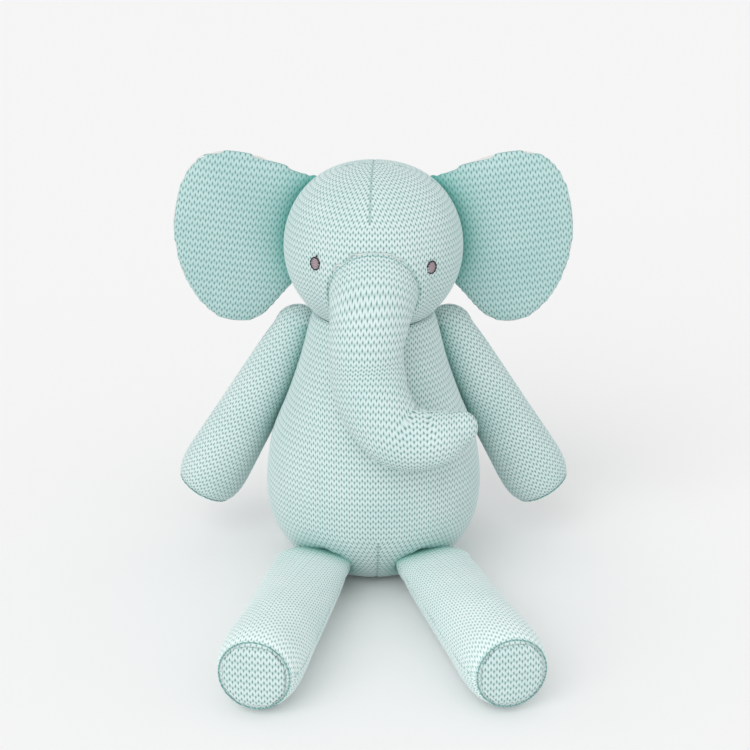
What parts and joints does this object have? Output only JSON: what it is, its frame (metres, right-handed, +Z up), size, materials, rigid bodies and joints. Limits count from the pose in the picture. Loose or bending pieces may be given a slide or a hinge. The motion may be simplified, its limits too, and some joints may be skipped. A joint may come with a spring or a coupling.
{
  "type": "stuffed elephant",
  "caption": "Seated knitted plush elephant: padded torso, ball head, wide disc ears, curling trunk, and flat-ended arms and legs that bend at their seams.",
  "frame": {"origin": "middle of the flat patch that the torso sits on", "axes": "+Z up along the torso; -Y the way the face looks; +X the toy's own left"},
  "size_m": [0.2768, 0.3309, 0.28],
  "materials": {
    "mint_knit": "matt knitted yarn, mint green",
    "pale_mint_knit": "matt knitted yarn, slightly paler mint green",
    "teal_thread": "matt sewing yarn",
    "fibre_filling": "loose white polyester fibre",
    "grey_mauve_thread": "satin-stitched embroidery thread, slight sheen",
    "dark_thread": "embroidery thread, near black, slight sheen"
  },
  "bodies": {
    "torso": {"body_cover": "mint_knit", "body_filling": "fibre_filling", "closing_seam": "teal_thread"},
    "neck": {"neck_seam": "teal_thread"},
    "head": {"head_cover": "mint_knit", "head_filling": "fibre_filling", "eye_left": "grey_mauve_thread", "eye_right": "grey_mauve_thread", "eye_outline_left": "dark_thread", "eye_outline_right": "dark_thread", "trunk_seam": "teal_thread"},
    "trunk_root": {"trunk_knot": "teal_thread"},
    "trunk": {"trunk_cover": "mint_knit", "trunk_filling": "fibre_filling"},
    "ear_left": {"ear_front_left": "pale_mint_knit", "ear_batting_left": "fibre_filling", "ear_back_left": "mint_knit"},
    "shoulder_left": {"shoulder_knot_left": "teal_thread"},
    "arm_left": {"arm_cover_left": "mint_knit", "arm_filling_left": "fibre_filling", "paw_pad_left": "pale_mint_knit", "paw_seam_left": "teal_thread"},
    "hip_left": {"hip_knot_left": "teal_thread"},
    "leg_left": {"leg_cover_left": "pale_mint_knit", "leg_filling_left": "fibre_filling", "sole_left": "mint_knit", "sole_seam_left": "teal_thread"},
    "ear_right": {"ear_front_right": "pale_mint_knit", "ear_batting_right": "fibre_filling", "ear_back_right": "mint_knit"},
    "shoulder_right": {"shoulder_knot_right": "teal_thread"},
    "arm_right": {"arm_cover_right": "mint_knit", "arm_filling_right": "fibre_filling", "paw_pad_right": "pale_mint_knit", "paw_seam_right": "teal_thread"},
    "hip_right": {"hip_knot_right": "teal_thread"},
    "leg_right": {"leg_cover_right": "pale_mint_knit", "leg_filling_right": "fibre_filling", "sole_right": "mint_knit", "sole_seam_right": "teal_thread"},
    "tail_root": {"tail_knot": "teal_thread"},
    "tail": {"tail_cover": "mint_knit", "tail_filling": "fibre_filling"}
  },
  "joints": [
    {"name": "neck_turn", "type": "hinge", "parent": "torso", "child": "neck", "pos_m": [0, 0, 0.162], "axis": [0, 0, -1], "range_deg": [-35, 35], "stiffness_Nm_per_rad": 0.6},
    {"name": "head_nod", "type": "hinge", "parent": "neck", "child": "head", "pos_m": [0, 0, 0.178], "axis": [-1, 0, 0], "range_deg": [-3, 12], "stiffness_Nm_per_rad": 2},
    {"name": "ear_fold_left", "type": "hinge", "parent": "head", "child": "ear_left", "pos_m": [0.062, 0.015, 0.22], "axis": [0, 0, -1], "range_deg": [-25, 35], "stiffness_Nm_per_rad": 0.08},
    {"name": "ear_fold_right", "type": "hinge", "parent": "head", "child": "ear_right", "pos_m": [-0.062, 0.015, 0.22], "axis": [0, 0, 1], "range_deg": [-25, 35], "stiffness_Nm_per_rad": 0.08},
    {"name": "trunk_swing", "type": "hinge", "parent": "head", "child": "trunk_root", "pos_m": [0, -0.05, 0.205], "axis": [0, 1, 0], "range_deg": [-18, 18], "stiffness_Nm_per_rad": 0.15},
    {"name": "trunk_lift", "type": "hinge", "parent": "trunk_root", "child": "trunk", "pos_m": [0, -0.05, 0.205], "axis": [-1, 0, 0], "range_deg": [-2, 30], "stiffness_Nm_per_rad": 0.15},
    {"name": "arm_swing_left", "type": "hinge", "parent": "torso", "child": "shoulder_left", "pos_m": [0.0505, 0.024, 0.156], "axis": [-0.8251, -0.3921, -0.4067], "range_deg": [-30, 70], "stiffness_Nm_per_rad": 0.12},
    {"name": "arm_lift_left", "type": "hinge", "parent": "shoulder_left", "child": "arm_left", "pos_m": [0.0505, 0.024, 0.156], "axis": [0.3662, -0.9194, 0.1434], "range_deg": [0, 40], "stiffness_Nm_per_rad": 0.12},
    {"name": "leg_spread_left", "type": "hinge", "parent": "torso", "child": "hip_left", "pos_m": [0.036, -0.06, 0.024], "axis": [0, 0, 1], "range_deg": [-6, 25], "stiffness_Nm_per_rad": 0.3},
    {"name": "leg_lift_left", "type": "hinge", "parent": "hip_left", "child": "leg_left", "pos_m": [0.036, -0.06, 0.024], "axis": [-0.9617, -0.274, 0], "range_deg": [-20, 28], "stiffness_Nm_per_rad": 0.3},
    {"name": "arm_swing_right", "type": "hinge", "parent": "torso", "child": "shoulder_right", "pos_m": [-0.0505, 0.024, 0.156], "axis": [-0.8251, 0.3921, 0.4067], "range_deg": [-30, 70], "stiffness_Nm_per_rad": 0.12},
    {"name": "arm_lift_right", "type": "hinge", "parent": "shoulder_right", "child": "arm_right", "pos_m": [-0.0505, 0.024, 0.156], "axis": [0.3662, 0.9194, -0.1434], "range_deg": [0, 40], "stiffness_Nm_per_rad": 0.12},
    {"name": "leg_spread_right", "type": "hinge", "parent": "torso", "child": "hip_right", "pos_m": [-0.036, -0.06, 0.024], "axis": [0, 0, -1], "range_deg": [-6, 25], "stiffness_Nm_per_rad": 0.3},
    {"name": "leg_lift_right", "type": "hinge", "parent": "hip_right", "child": "leg_right", "pos_m": [-0.036, -0.06, 0.024], "axis": [-0.9792, 0.2028, 0], "range_deg": [-20, 28], "stiffness_Nm_per_rad": 0.3},
    {"name": "tail_wag", "type": "hinge", "parent": "torso", "child": "tail_root", "pos_m": [0, 0.068, 0.026], "axis": [0, 0, 1], "range_deg": [-25, 25], "stiffness_Nm_per_rad": 0.02},
    {"name": "tail_lift", "type": "hinge", "parent": "tail_root", "child": "tail", "pos_m": [0, 0.068, 0.026], "axis": [1, 0, 0], "range_deg": [-8, 25], "stiffness_Nm_per_rad": 0.02}
  ]
}
